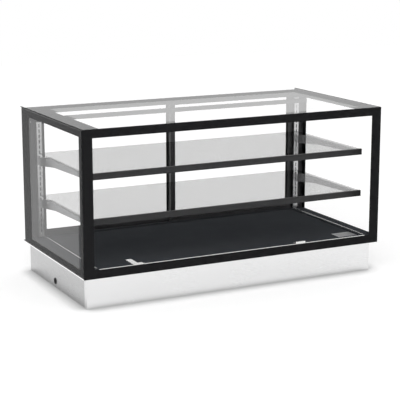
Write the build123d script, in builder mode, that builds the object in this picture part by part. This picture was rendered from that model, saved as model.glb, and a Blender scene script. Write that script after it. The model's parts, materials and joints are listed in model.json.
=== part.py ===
from build123d import *
import math
import os

os.makedirs("parts", exist_ok=True)

# A drop-in heated display case: a frameless glass box with black printed borders on a
# stainless base that drops into a counter. X runs along the front, +Y to the service side
# and +Z up. The origin is on the floor, under the middle of the case. Sizes in millimetres.

# Overall sizes
case_width = 1200.0
case_depth = 625.0
base_height = 112.0  # floor to the underside of the mounting flange
glass_box_height = 520.0  # underside of the flange to the top of the glass
flange_edge = 5.0
gasket_thickness = 1.5

# Glass and its printed borders
glass_thickness = 6.0
glass_arris = 0.8  # ground chamfer on every long glass edge
print_thickness = 0.4
seal_thickness = 0.6
front_glass_rise = 1.0  # the front pane stops this far above the counter
front_border_side = 40.0
front_border_top = 31.0
front_border_bottom = 32.0
side_border_front = 45.0
side_border_rear = 97.0
side_border_top = 29.0
side_border_bottom = 30.0
top_border_side = 77.0
top_border_front = 40.0
top_border_rear = 115.0

# Rear frame and sliding doors
frame_depth = 75.0
header_height = 14.0
sill_height = 20.0
post_wall = 3.0
post_front_width = 47.6
post_rear_width = 27.6
track_depth = 12.0
door_thickness = 16.0
track_pitch = 22.0
track_clearance = 1.5
door_first_inset = 6.5  # front of the frame to the front face of the inner door
door_stile = 35.0
door_meeting_stile = 18.0
door_top_rail = 10.0
door_bottom_rail = 24.0
door_overlap = 18.0
door_jamb_gap = 30.6
door_top_play = 3.0
door_pane_thickness = 5.0
door_pane_grip = 7.0
pane_play = 0.25
glide_height = 5.7
glide_length = 40.0
glide_width = 10.0
glide_play = 0.3
pull_height = 140.0
pull_width = 20.0
pull_reach = 5.0
pull_wall = 1.5

# Slotted uprights and hook-on shelves
upright_width = 20.0
upright_depth = 8.0
upright_wall = 1.5
upright_centre = 556.0
slot_width = 4.0
slot_height = 14.0
slot_pitch = 20.0
first_slot_gap = 16.5  # foot of the upright to its lowest slot
shelf_slot_rows = (5, 13)  # slot row that each shelf's lower hooks sit in
shelf_front_gap = 57.2  # front pane to the shelf trim
shelf_glass = 6.0
shelf_rear_gap = 6.0
trim_height = 21.0
trim_wall = 1.5
trim_lip = 10.0
arm_thickness = 3.0
arm_front_height = 19.0
arm_bend_height = 31.0
arm_root_height = 50.0
arm_notch_drop = 20.0
arm_notch_length = 79.0
arm_flange_width = 14.0
arm_flange_sheet = 2.0
hook_neck = 7.0
hook_drop = 6.0
hook_thickness = 3.0
hook_play = 0.4
seat_play = 0.1
lower_hook_depth = 46.0  # shelf top to the seat of its lower hook
arm_screw_radius = 2.5

# Lamp under the top glass
lamp_height = 15.0
lamp_depth = 17.0
lamp_top_gap = 12.0  # underside of the header to the top of the lamp
lamp_wall = 1.5
diffuser_thickness = 2.0

# Heated deck
deck_channel_width = 50.0
deck_channel_height = 25.0
deck_sheet = 1.5
tray_height = 27.0
tray_recess = 5.5
tray_rim = 6.0
tray_corner = 3.0
deck_gap = 1.5
grille_depth = 15.5
grille_slot_length = 20.0
grille_slot_width = 5.0
grille_slot_pitch = 26.0
vent_width = 80.0
vent_depth = 72.0
vent_inset = 8.0
vent_hole = 5.0
vent_pitch = 8.4

# Base
base_inset_side = 19.5
base_inset_front = 31.0
base_inset_rear = 13.0
base_sheet = 1.2
panel_return = 22.0
rear_return = 16.0
floor_sheet = 1.5
floor_upturn = 12.0
grommet_y = 30.0
grommet_z = 24.0
grommet_radius = 12.0
grommet_bore = 8.0
grommet_lip = 2.0
rivet_drops = (42.5, 14.5)  # below the top of the base
rivet_radius = 1.6
rivet_head_radius = 3.5
rivet_head = 1.2
louvre_length = 46.0
louvre_height = 4.0
louvre_pitch = 10.0
louvre_rows = 5

# Heater compartment inside the base
duct_sheet = 1.2
duct_side_gap = 60.0
duct_front_gap = 16.0
duct_rear_gap = 150.0
insulation_thickness = 18.0
fan_size = 120.0
fan_depth = 38.0
fan_bore = 57.0
fan_hub_radius = 21.0
fan_spacing = 520.0
fan_pin_radius = 2.0
running_play = 0.05
fan_blades = 7
fan_blade_tip = 54.0
element_radius = 4.25
element_bend = 32.0

# Electrical bay behind the heater compartment
terminal_inset = 60.0  # end and front of the bay to the middle of the block
terminal_length = 84.0
terminal_depth = 26.0
terminal_height = 20.0
terminal_pitch = 16.0
terminal_ways = 5
terminal_well_radius = 4.0
terminal_well_depth = 8.0
driver_offset = 140.0
driver_length = 160.0
driver_depth = 42.0
driver_height = 30.0
driver_corner = 3.0
bulb_radius = 4.0
bulb_drop = 14.0

# Controls in the rear of the base
control_inset = 180.5  # outside of the base to the middle of the controls
control_width = 220.0
control_height = 80.0
control_sheet = 1.5
control_overlap = 9.0
knob_radius = 18.0
knob_height = 10.0
knob_gap = 0.6
knob_flutes = 10
knob_shaft_radius = 3.0
knob_shaft_length = 16.0
thermostat_width = 44.0
thermostat_height = 34.0
thermostat_depth = 30.0
switch_width = 14.0
switch_height = 24.0
switch_bezel = 2.0
switch_depth = 20.0
switch_spacing = 36.0
rocker_tilt = 7.0

# Levels and faces worked out from the sizes above
half_width = case_width / 2
front_y = -case_depth / 2
rear_y = case_depth / 2
top_z = base_height + glass_box_height
flange_top = base_height + flange_edge
pane_front_y = front_y + glass_thickness
print_front_y = pane_front_y + print_thickness
box_front_y = print_front_y + seal_thickness  # front edge of the side and top panes
side_pane_bottom = flange_top + gasket_thickness
top_pane_bottom = top_z - glass_thickness
frame_top = top_pane_bottom - print_thickness - seal_thickness
side_pane_inner_x = half_width - glass_thickness
inner_x = side_pane_inner_x - print_thickness
top_half_width = side_pane_inner_x - seal_thickness
frame_front_y = rear_y - frame_depth
sill_top = flange_top + sill_height
header_bottom = frame_top - header_height
post_height = header_bottom - sill_top
base_half_width = half_width - base_inset_side
base_front_y = front_y + base_inset_front
base_rear_y = rear_y - base_inset_rear
base_top = flange_top - deck_sheet
control_centre_x = -base_half_width + control_inset
rivet_heights = [base_top - drop for drop in rivet_drops]
sides = (("left", -1), ("right", 1))


def save(builder, name):
    """Label a finished piece and write it as its own file."""
    builder.part.label = name
    export_step(builder.part, f"parts/{name}.step")


def span(low, high):
    """Middle and length of a stretch."""
    return (low + high) / 2, high - low


def block(x_span, y_span, z_span, mode=Mode.ADD):
    """Straight-sided stock between three pairs of faces, in the open part."""
    centres, lengths = zip(*(span(min(s), max(s)) for s in (x_span, y_span, z_span)))
    with Locations(centres):
        Box(*lengths, mode=mode)


def window(outer, inner):
    """A border: the outer rectangle less the inner one, each (low u, high u, low v, high v)."""
    for (low_u, high_u, low_v, high_v), mode in ((outer, Mode.ADD), (inner, Mode.SUBTRACT)):
        centre_u, length_u = span(low_u, high_u)
        centre_v, length_v = span(low_v, high_v)
        with Locations((centre_u, centre_v)):
            Rectangle(length_u, length_v, mode=mode)


# Front pane and its printed border
with BuildPart() as front_glass:
    with BuildSketch(Plane.XZ.offset(-front_y)):
        centre_z, height = span(base_height + front_glass_rise, top_z)
        with Locations((0, centre_z)):
            Rectangle(case_width, height)
    extrude(amount=-glass_thickness)
    chamfer(front_glass.faces().sort_by(Axis.Y)[0].edges(), glass_arris)
save(front_glass, "front_glass")

with BuildPart() as front_border:
    with BuildSketch(Plane.XZ.offset(-pane_front_y)):
        window(
            (-half_width, half_width, base_height + front_glass_rise, top_z),
            (
                -half_width + front_border_side,
                half_width - front_border_side,
                base_height + front_border_bottom,
                top_z - front_border_top,
            ),
        )
    extrude(amount=-print_thickness)
save(front_border, "front_border")

# Side panes and their printed borders
for side_name, side in sides:
    with BuildPart() as side_glass:
        with BuildSketch(Plane.YZ.offset(side * side_pane_inner_x)):
            centre_y, length = span(box_front_y, rear_y)
            centre_z, height = span(side_pane_bottom, top_z)
            with Locations((centre_y, centre_z)):
                Rectangle(length, height)
        extrude(amount=side * glass_thickness)
        outer_face = side_glass.faces().sort_by(Axis.X)[-1 if side > 0 else 0]
        chamfer(outer_face.edges(), glass_arris)
    save(side_glass, f"{side_name}_glass")

    with BuildPart() as side_border:
        with BuildSketch(Plane.YZ.offset(side * inner_x)):
            window(
                (box_front_y, rear_y, side_pane_bottom, frame_top),
                (
                    front_y + side_border_front,
                    rear_y - side_border_rear,
                    base_height + side_border_bottom,
                    top_z - side_border_top,
                ),
            )
        extrude(amount=side * print_thickness)
    save(side_border, f"{side_name}_border")

# Top pane and its printed border
with BuildPart() as top_glass:
    with BuildSketch(Plane.XY.offset(top_pane_bottom)):
        centre_y, length = span(box_front_y, rear_y)
        with Locations((0, centre_y)):
            Rectangle(2 * top_half_width, length)
    extrude(amount=glass_thickness)
    chamfer(top_glass.faces().sort_by(Axis.Z)[-1].edges(), glass_arris)
save(top_glass, "top_glass")

with BuildPart() as top_border:
    with BuildSketch(Plane.XY.offset(top_pane_bottom - print_thickness)):
        window(
            (-top_half_width, top_half_width, box_front_y, rear_y),
            (
                -half_width + top_border_side,
                half_width - top_border_side,
                front_y + top_border_front,
                rear_y - top_border_rear,
            ),
        )
    extrude(amount=print_thickness)
save(top_border, "top_border")

# Black silicone in the joints between the panes
with BuildPart() as glazing_seals:
    for side in (-1, 1):
        edge_x = (side * side_pane_inner_x, side * half_width)
        block(edge_x, (print_front_y, box_front_y), (side_pane_bottom, top_z))
        joint_x = (side * top_half_width, side * side_pane_inner_x)
        block(joint_x, (box_front_y, rear_y), (frame_top, top_z))
    top_joint_x = (-side_pane_inner_x, side_pane_inner_x)
    block(top_joint_x, (print_front_y, box_front_y), (frame_top, top_z))
save(glazing_seals, "glazing_seals")

# Rear frame: a header and a sill with two door tracks each, and two posts between them
door_slabs = [
    frame_front_y + door_first_inset + track_pitch * n for n in range(2)
]  # front face of the inner door, then of the outer one
service_channel_y = (
    door_slabs[1] + door_thickness + track_clearance + post_wall,
    rear_y - post_wall,
)


def cut_tracks(z_span):
    """Two door tracks and a drain channel behind them, cut along the open part."""
    for slab in door_slabs:
        track_y = (slab - track_clearance, slab + door_thickness + track_clearance)
        block((-inner_x, inner_x), track_y, z_span, Mode.SUBTRACT)
    block((-inner_x, inner_x), service_channel_y, z_span, Mode.SUBTRACT)


with BuildPart() as door_header:
    block((-inner_x, inner_x), (frame_front_y, rear_y), (header_bottom, frame_top))
    cut_tracks((header_bottom, header_bottom + track_depth))
save(door_header, "door_header")

with BuildPart() as door_sill:
    block((-inner_x, inner_x), (frame_front_y, rear_y), (flange_top, sill_top))
    cut_tracks((sill_top - track_depth, sill_top))
save(door_sill, "door_sill")

with BuildPart() as rear_posts:
    for side in (-1, 1):
        with BuildSketch(Plane.XY.offset(sill_top)):
            with BuildLine():
                Polyline(
                    (side * inner_x, frame_front_y),
                    (side * (inner_x - post_front_width), frame_front_y),
                    (side * (inner_x - post_front_width), frame_front_y + post_wall),
                    (side * (inner_x - post_wall), frame_front_y + post_wall),
                    (side * (inner_x - post_wall), rear_y - post_wall),
                    (side * (inner_x - post_rear_width), rear_y - post_wall),
                    (side * (inner_x - post_rear_width), rear_y),
                    (side * inner_x, rear_y),
                    close=True,
                )
            make_face()
        extrude(amount=post_height)
save(rear_posts, "rear_posts")

# Sliding doors: the left one runs in the outer track, the right one in the inner track
door_bottom = sill_top - track_depth + glide_height + glide_play
door_top = header_bottom + track_depth - door_top_play
door_jamb_x = inner_x - post_wall - door_jamb_gap


def framing_bar(plane, centre, across, length, opening_sign):
    """One door bar, extruded from its section with the groove that grips the pane."""
    groove = door_pane_thickness + 2 * pane_play
    with BuildSketch(plane) as section:
        with Locations(centre):
            Rectangle(across, door_thickness)
            with Locations((opening_sign * (across - door_pane_grip) / 2, 0)):
                Rectangle(door_pane_grip, groove, mode=Mode.SUBTRACT)
    extrude(section.sketch, amount=length)


for (side_name, side), slab in zip(sides, reversed(door_slabs)):
    jamb_x = side * door_jamb_x
    meeting_x = -side * door_overlap / 2
    slab_middle = slab + door_thickness / 2
    door_low_x, door_high_x = sorted((jamb_x, meeting_x))
    low_stile, high_stile = (door_stile, door_meeting_stile)[::-side]
    opening_low_x = door_low_x + low_stile
    opening_high_x = door_high_x - high_stile
    opening_low_z = door_bottom + door_bottom_rail
    opening_high_z = door_top - door_top_rail

    with BuildPart() as door_frame:
        upright_plane = Plane.XY.offset(door_bottom)
        rail_plane = Plane((opening_low_x, 0, 0), x_dir=(0, 0, 1), z_dir=(1, 0, 0))
        for centre_x, stile, opening in (
            (door_low_x + low_stile / 2, low_stile, 1),
            (door_high_x - high_stile / 2, high_stile, -1),
        ):
            framing_bar(
                upright_plane, (centre_x, slab_middle), stile, door_top - door_bottom, opening
            )
        for centre_z, across, opening in (
            (door_bottom + door_bottom_rail / 2, door_bottom_rail, 1),
            (door_top - door_top_rail / 2, door_top_rail, -1),
        ):
            # this plane's second axis points to the front, so the slab's depth is negated
            framing_bar(
                rail_plane, (centre_z, -slab_middle), across, opening_high_x - opening_low_x, opening
            )
    save(door_frame, f"door_{side_name}_frame")

    with BuildPart() as door_glass:
        grip = door_pane_grip - pane_play
        block(
            (opening_low_x - grip, opening_high_x + grip),
            (slab_middle - door_pane_thickness / 2, slab_middle + door_pane_thickness / 2),
            (opening_low_z - grip, opening_high_z + grip),
        )
    save(door_glass, f"door_{side_name}_glass")

    with BuildPart() as door_glides:
        glide_z = door_bottom - glide_height / 2
        for glide_x in (door_low_x + glide_length, door_high_x - glide_length):
            with Locations((glide_x, slab_middle, glide_z)):
                Box(glide_length, glide_width, glide_height)
        lower_ends = door_glides.edges().filter_by(Axis.Y).group_by(Axis.Z)[0]
        chamfer(lower_ends, glide_height / 4)
    save(door_glides, f"door_{side_name}_glides")

    with BuildPart() as door_pull:
        pull_middle_z = (door_bottom + door_top) / 2
        back_y = slab + door_thickness
        outer_x = jamb_x - side * (door_stile - pull_width) / 2
        with BuildSketch(Plane.XY.offset(pull_middle_z - pull_height / 2)):
            with BuildLine():
                Polyline(
                    (outer_x, back_y),
                    (outer_x - side * pull_width, back_y),
                    (outer_x - side * pull_width, back_y + pull_wall),
                    (outer_x - side * pull_wall, back_y + pull_wall),
                    (outer_x - side * pull_wall, back_y + pull_reach - pull_wall),
                    (outer_x - side * 2 * pull_wall, back_y + pull_reach),
                    (outer_x, back_y + pull_reach),
                    close=True,
                )
            make_face()
        extrude(amount=pull_height)
    save(door_pull, f"door_{side_name}_pull")

# Slotted uprights that carry the shelves
deck_top = flange_top + deck_channel_height
upright_bottom = deck_top + deck_gap
upright_top = header_bottom - lamp_top_gap / 2
upright_front_y = frame_front_y - upright_depth
first_slot_bottom = upright_bottom + first_slot_gap
slot_rows = int((upright_top - first_slot_bottom) // slot_pitch)

with BuildPart() as uprights:
    for side in (-1, 1):
        with BuildSketch(Plane.XY.offset(upright_bottom)):
            with Locations((side * upright_centre, frame_front_y - upright_depth / 2)):
                Rectangle(upright_width, upright_depth)
            with Locations((side * upright_centre, frame_front_y - (upright_depth - upright_wall) / 2)):
                Rectangle(
                    upright_width - 2 * upright_wall,
                    upright_depth - upright_wall,
                    mode=Mode.SUBTRACT,
                )
        extrude(amount=upright_top - upright_bottom)
        with BuildSketch(Plane.XZ.offset(-upright_front_y)):
            for row in range(slot_rows):
                slot_middle = first_slot_bottom + row * slot_pitch + slot_height / 2
                with Locations((side * upright_centre, slot_middle)):
                    Rectangle(slot_width, slot_height)
        extrude(amount=-upright_wall, mode=Mode.SUBTRACT)
save(uprights, "uprights")

# Shelves: a glass plate with a dark front trim on two tapered arms
shelf_half_width = upright_centre + arm_thickness / 2
arm_rear_y = upright_front_y - hook_play
shelf_rear_y = arm_rear_y - shelf_rear_gap
shelf_front_y = print_front_y + shelf_front_gap
arm_front_y = shelf_front_y + trim_lip + hook_thickness
arm_bend_y = arm_rear_y - 2 * arm_notch_length

for shelf_name, row in zip(("middle", "upper"), shelf_slot_rows):
    seat_z = first_slot_bottom + row * slot_pitch + seat_play
    shelf_top = seat_z + lower_hook_depth
    glass_bottom = shelf_top - shelf_glass
    flange_inner_x = upright_centre - arm_thickness / 2 - arm_flange_width

    with BuildPart() as shelf_plate:
        block(
            (-shelf_half_width, shelf_half_width),
            (shelf_front_y + trim_wall, shelf_rear_y),
            (glass_bottom, shelf_top),
        )
        chamfer(shelf_plate.faces().sort_by(Axis.Y)[-1].edges(), glass_arris)
    save(shelf_plate, f"{shelf_name}_shelf_glass")

    with BuildPart() as shelf_trim:
        trim_top = shelf_top + trim_wall
        trim_back_y = shelf_front_y + trim_lip
        with BuildSketch(Plane.YZ.offset(-shelf_half_width)):
            with BuildLine():
                Polyline(
                    (shelf_front_y, trim_top),
                    (trim_back_y, trim_top),
                    (trim_back_y, shelf_top),
                    (shelf_front_y + trim_wall, shelf_top),
                    (shelf_front_y + trim_wall, shelf_top - trim_height + trim_wall),
                    (trim_back_y, shelf_top - trim_height + trim_wall),
                    (trim_back_y, shelf_top - trim_height),
                    (shelf_front_y, shelf_top - trim_height),
                    close=True,
                )
            make_face()
        extrude(amount=2 * shelf_half_width)
        nose_edges = shelf_trim.edges().filter_by(Axis.X).group_by(Axis.Y)[0]
        fillet(nose_edges, trim_wall * 0.6)
    save(shelf_trim, f"{shelf_name}_shelf_trim")

    for side_name, side in sides:
        arm_outer_x = side * shelf_half_width
        with BuildPart() as shelf_arm:
            with BuildSketch(Plane.YZ.offset(arm_outer_x)):
                notch_front_y = arm_rear_y - arm_notch_length
                with BuildLine():
                    Line((arm_front_y, glass_bottom), (notch_front_y, glass_bottom))
                    notch_curve = ThreePointArc(
                        (notch_front_y, glass_bottom),
                        (
                            arm_rear_y - arm_notch_length * 0.45,
                            shelf_top - arm_notch_drop * 0.62,
                        ),
                        (arm_rear_y, shelf_top - arm_notch_drop),
                    )
                    Line(notch_curve @ 1, (arm_rear_y, shelf_top - arm_root_height))
                    FilletPolyline(
                        (arm_rear_y, shelf_top - arm_root_height),
                        (arm_bend_y, shelf_top - arm_bend_height),
                        (arm_front_y, shelf_top - arm_front_height),
                        radius=arm_notch_length * 4,
                    )
                    Line((arm_front_y, shelf_top - arm_front_height), (arm_front_y, glass_bottom))
                make_face()
                with Locations((arm_rear_y - arm_notch_length, shelf_top - lower_hook_depth / 3)):
                    Circle(arm_screw_radius, mode=Mode.SUBTRACT)
            extrude(amount=-side * arm_thickness)
            flange_x = sorted((side * flange_inner_x, arm_outer_x - side * arm_thickness))
            block(flange_x, (arm_front_y, notch_front_y), (glass_bottom - arm_flange_sheet, glass_bottom))
            # hooks that pass through the upright's face and drop behind it
            hook_back_y = upright_front_y + upright_wall + hook_play
            for hook_seat in (seat_z, seat_z + slot_pitch):
                plate_x = (arm_outer_x - side * arm_thickness, arm_outer_x)
                neck_z = (hook_seat, hook_seat + hook_neck)
                block(plate_x, (arm_rear_y, hook_back_y + hook_thickness), neck_z)
                lip_z = (hook_seat - hook_drop, hook_seat)
                block(plate_x, (hook_back_y, hook_back_y + hook_thickness), lip_z)
        save(shelf_arm, f"{shelf_name}_shelf_arm_{side_name}")

# Lamp bar across the uprights, under the top glass
lamp_top = header_bottom - lamp_top_gap
lamp_bottom = lamp_top - lamp_height
lamp_rear_y = upright_front_y
lamp_front_y = lamp_rear_y - lamp_depth
lamp_end_x = inner_x - pane_play

with BuildPart() as lamp_housing:
    with BuildSketch(Plane.YZ.offset(-lamp_end_x)):
        with BuildLine():
            Polyline(
                (lamp_rear_y, lamp_bottom),
                (lamp_rear_y, lamp_top),
                (lamp_front_y, lamp_top),
                (lamp_front_y, lamp_bottom),
                (lamp_front_y + lamp_wall, lamp_bottom),
                (lamp_front_y + lamp_wall, lamp_top - lamp_wall),
                (lamp_rear_y - lamp_wall, lamp_top - lamp_wall),
                (lamp_rear_y - lamp_wall, lamp_bottom),
                close=True,
            )
        make_face()
    extrude(amount=2 * lamp_end_x)
    top_corners = lamp_housing.edges().filter_by(Axis.X).group_by(Axis.Z)[-1]
    fillet(top_corners, lamp_wall * 0.6)
save(lamp_housing, "lamp_housing")

with BuildPart() as lamp_diffuser:
    block(
        (-lamp_end_x, lamp_end_x),
        (lamp_front_y + lamp_wall, lamp_rear_y - lamp_wall),
        (lamp_bottom, lamp_bottom + diffuser_thickness),
    )
save(lamp_diffuser, "lamp_diffuser")

# Mounting flange: its rim rests on the counter, its sheet carries the deck
deck_opening_x = inner_x - deck_channel_width - 2 * tray_recess * 3
deck_opening_front_y = base_front_y + base_sheet * 3
deck_opening_rear_y = frame_front_y - tray_recess * 4

with BuildPart() as mounting_flange:
    block((-half_width, half_width), (box_front_y, rear_y), (base_height, flange_top))
    block(
        (-base_half_width, base_half_width),
        (base_front_y, base_rear_y),
        (base_height, base_top),
        Mode.SUBTRACT,
    )
    block(
        (-deck_opening_x, deck_opening_x),
        (deck_opening_front_y, deck_opening_rear_y),
        (base_top, flange_top),
        Mode.SUBTRACT,
    )
save(mounting_flange, "mounting_flange")

with BuildPart() as flange_gasket:
    for side in (-1, 1):
        edge_x = (side * inner_x, side * half_width)
        block(edge_x, (box_front_y, rear_y), (flange_top, side_pane_bottom))
save(flange_gasket, "flange_gasket")

# Deck: side channels, a removable tray, the front air grille and the return vent
with BuildPart() as deck_channels:
    for side in (-1, 1):
        outer_x = side * (inner_x - seat_play)
        deck_edge_x = side * (inner_x - deck_channel_width)
        with BuildSketch(Plane.XZ.offset(-box_front_y)):
            with BuildLine():
                Polyline(
                    (outer_x, flange_top + gasket_thickness),
                    (outer_x, deck_top),
                    (deck_edge_x, deck_top),
                    (deck_edge_x, flange_top),
                    (deck_edge_x + side * deck_sheet, flange_top),
                    (deck_edge_x + side * deck_sheet, deck_top - deck_sheet),
                    (outer_x - side * deck_sheet, deck_top - deck_sheet),
                    (outer_x - side * deck_sheet, flange_top + gasket_thickness),
                    close=True,
                )
            make_face()
        extrude(amount=-(frame_front_y - box_front_y))
save(deck_channels, "deck_channels")

tray_half_width = inner_x - deck_channel_width - deck_gap
tray_front_y = box_front_y + grille_depth + deck_gap
tray_rear_y = frame_front_y - deck_gap
tray_top = flange_top + tray_height
tray_floor_top = tray_top - tray_recess
tray_floor_bottom = tray_floor_top - deck_sheet
vent_x = (tray_half_width - vent_inset - vent_width, tray_half_width - vent_inset)
vent_y = (tray_front_y + vent_inset, tray_front_y + vent_inset + vent_depth)
tray_centre_y, tray_length = span(tray_front_y, tray_rear_y)

with BuildPart() as deck_tray:
    with BuildSketch(Plane.XY.offset(flange_top)):
        with Locations((0, tray_centre_y)):
            Rectangle(2 * tray_half_width, tray_length)
    extrude(amount=tray_height)
    fillet(deck_tray.edges().filter_by(Axis.Z), tray_rim)
    with BuildSketch(Plane.XY.offset(tray_floor_top)):
        with Locations((0, tray_centre_y)):
            RectangleRounded(
                2 * (tray_half_width - tray_rim), tray_length - 2 * tray_rim, tray_corner
            )
    extrude(amount=tray_recess, mode=Mode.SUBTRACT)
    block(
        (-tray_half_width + deck_sheet, tray_half_width - deck_sheet),
        (tray_front_y + deck_sheet, tray_rear_y - deck_sheet),
        (flange_top, tray_floor_bottom),
        Mode.SUBTRACT,
    )
    rim_edges = deck_tray.faces().sort_by(Axis.Z)[-1].edges()
    fillet(rim_edges, tray_rim / 3)
    block(vent_x, vent_y, (tray_floor_bottom, tray_floor_top), Mode.SUBTRACT)
    # slots in the front skirt let the warm air reach the grille
    with BuildSketch(Plane.XZ.offset(-tray_front_y)):
        skirt_slots = int(2 * tray_half_width // (grille_slot_pitch * 3))
        with Locations((0, flange_top + tray_height / 3)):
            with GridLocations(grille_slot_pitch * 3, 1, skirt_slots, 1):
                Rectangle(grille_slot_length * 2, grille_slot_width * 2)
    extrude(amount=-deck_sheet, mode=Mode.SUBTRACT)
save(deck_tray, "deck_tray")

with BuildPart() as air_grille:
    with BuildSketch(Plane.YZ.offset(-tray_half_width)):
        with BuildLine():
            Polyline(
                (box_front_y, flange_top),
                (box_front_y, deck_top),
                (box_front_y + grille_depth, deck_top),
                (box_front_y + grille_depth, deck_top - tray_recess),
                (box_front_y + grille_depth - deck_sheet, deck_top - tray_recess),
                (box_front_y + grille_depth - deck_sheet, deck_top - deck_sheet),
                (box_front_y + deck_sheet, deck_top - deck_sheet),
                (box_front_y + deck_sheet, flange_top),
                close=True,
            )
        make_face()
    extrude(amount=2 * tray_half_width)
    with BuildSketch(Plane.XY.offset(deck_top)):
        grille_slots = int(2 * tray_half_width // grille_slot_pitch)
        with Locations((0, box_front_y + grille_depth / 2)):
            with GridLocations(grille_slot_pitch, 1, grille_slots, 1):
                Rectangle(grille_slot_length, grille_slot_width)
    extrude(amount=-deck_sheet, mode=Mode.SUBTRACT)
save(air_grille, "air_grille")

with BuildPart() as return_vent:
    block(
        (vent_x[0] + seat_play, vent_x[1] - seat_play),
        (vent_y[0] + seat_play, vent_y[1] - seat_play),
        (tray_floor_bottom, tray_floor_top),
    )
    vent_centre = (sum(vent_x) / 2, sum(vent_y) / 2)
    with BuildSketch(Plane.XY.offset(tray_floor_top)):
        with Locations(vent_centre):
            vent_columns = int((vent_width - vent_pitch) // vent_pitch)
            vent_rows = int((vent_depth - vent_pitch) // vent_pitch)
            with GridLocations(vent_pitch, vent_pitch, vent_columns, vent_rows):
                Rectangle(vent_hole, vent_hole)
    extrude(amount=-deck_sheet, mode=Mode.SUBTRACT)
save(return_vent, "return_vent")

# Base: a riveted stainless box
side_panel_outer_x = base_half_width - base_sheet
side_panel_inner_x = side_panel_outer_x - base_sheet
rear_panel_front_y = base_rear_y - base_sheet
rivet_y = base_front_y + panel_return / 2

with BuildPart() as base_front_panel:
    with BuildSketch(Plane.XY):
        with BuildLine():
            Polyline(
                (-base_half_width, base_front_y + panel_return),
                (-base_half_width, base_front_y),
                (base_half_width, base_front_y),
                (base_half_width, base_front_y + panel_return),
                (side_panel_outer_x, base_front_y + panel_return),
                (side_panel_outer_x, base_front_y + base_sheet),
                (-side_panel_outer_x, base_front_y + base_sheet),
                (-side_panel_outer_x, base_front_y + panel_return),
                close=True,
            )
        make_face()
    extrude(amount=base_top)
    with BuildSketch(Plane.YZ.offset(-base_half_width)):
        with Locations(*[(rivet_y, z) for z in rivet_heights]):
            Circle(rivet_radius)
    extrude(amount=2 * base_half_width, mode=Mode.SUBTRACT)
save(base_front_panel, "base_front_panel")

for side_name, side in sides:
    with BuildPart() as base_side_panel:
        with BuildSketch(Plane.XY):
            with BuildLine():
                Polyline(
                    (side * side_panel_outer_x, base_front_y + base_sheet),
                    (side * side_panel_outer_x, rear_panel_front_y),
                    (side * (side_panel_outer_x - rear_return), rear_panel_front_y),
                    (side * (side_panel_outer_x - rear_return), rear_panel_front_y - base_sheet),
                    (side * side_panel_inner_x, rear_panel_front_y - base_sheet),
                    (side * side_panel_inner_x, base_front_y + base_sheet),
                    close=True,
                )
            make_face()
        extrude(amount=base_top)
        with BuildSketch(Plane.YZ.offset(side * side_panel_inner_x)):
            with Locations(*[(rivet_y, z) for z in rivet_heights]):
                Circle(rivet_radius)
            if side < 0:
                with Locations((grommet_y, grommet_z)):
                    Circle(grommet_radius - grommet_lip)
        extrude(amount=side * base_sheet, mode=Mode.SUBTRACT)
    save(base_side_panel, f"base_{side_name}_panel")

control_z = base_top / 2
cutout_half_width = control_width / 2 - control_overlap
cutout_half_height = control_height / 2 - control_overlap

with BuildPart() as base_rear_panel:
    block((-side_panel_outer_x, side_panel_outer_x), (rear_panel_front_y, base_rear_y), (0, base_top))
    with BuildSketch(Plane.XZ.offset(-base_rear_y)):
        with Locations((control_centre_x, control_z)):
            Rectangle(2 * cutout_half_width, 2 * cutout_half_height)
        with Locations((-control_centre_x, control_z)):
            with GridLocations(louvre_length * 1.3, louvre_pitch, 3, louvre_rows):
                SlotOverall(louvre_length, louvre_height)
    extrude(amount=base_sheet, both=True, mode=Mode.SUBTRACT)
save(base_rear_panel, "base_rear_panel")

with BuildPart() as base_floor:
    floor_x = (-side_panel_inner_x, side_panel_inner_x)
    floor_y = (base_front_y + base_sheet, rear_panel_front_y - base_sheet)
    block(floor_x, floor_y, (0, floor_upturn))
    block(
        (floor_x[0] + floor_sheet, floor_x[1] - floor_sheet),
        (floor_y[0] + floor_sheet, floor_y[1] - floor_sheet),
        (floor_sheet, floor_upturn),
        Mode.SUBTRACT,
    )
save(base_floor, "base_floor")

with BuildPart() as panel_rivets:
    for side in (-1, 1):
        shank_plane = Plane.YZ.offset(side * side_panel_inner_x)
        for rivet_z in rivet_heights:
            with BuildSketch(shank_plane):
                with Locations((rivet_y, rivet_z)):
                    Circle(rivet_radius)
            extrude(amount=side * 2 * base_sheet)
            with BuildSketch(Plane.YZ.offset(side * base_half_width)):
                with Locations((rivet_y, rivet_z)):
                    Circle(rivet_head_radius)
            extrude(amount=side * rivet_head, taper=35)
save(panel_rivets, "panel_rivets")

# Rubber grommet where the supply lead leaves the left side of the base
with BuildPart() as cable_grommet:
    with BuildSketch(Plane.XY.offset(grommet_z)):
        outer_x = -side_panel_outer_x
        neck_radius = grommet_radius - grommet_lip
        with BuildLine():
            Polyline(
                (outer_x - grommet_lip, grommet_y + grommet_bore),
                (outer_x - grommet_lip, grommet_y + grommet_radius - grommet_lip / 2),
                (outer_x - grommet_lip / 2, grommet_y + grommet_radius),
                (outer_x, grommet_y + grommet_radius),
                (outer_x, grommet_y + neck_radius),
                (outer_x + base_sheet, grommet_y + neck_radius),
                (outer_x + base_sheet, grommet_y + grommet_radius),
                (outer_x + base_sheet + grommet_lip, grommet_y + grommet_radius),
                (outer_x + base_sheet + grommet_lip, grommet_y + grommet_bore),
                close=True,
            )
        make_face()
    revolve(axis=Axis((0, grommet_y, grommet_z), (1, 0, 0)))
save(cable_grommet, "cable_grommet")

# Heater compartment: insulation, duct, two fans and two tubular elements
duct_half_width = side_panel_inner_x - duct_side_gap
duct_front_y = base_front_y + duct_front_gap
duct_rear_y = base_rear_y - duct_rear_gap
insulation_top = floor_sheet + insulation_thickness

with BuildPart() as insulation:
    block(
        (-duct_half_width, duct_half_width),
        (duct_front_y, duct_rear_y),
        (floor_sheet, insulation_top),
    )
save(insulation, "insulation")

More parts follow.
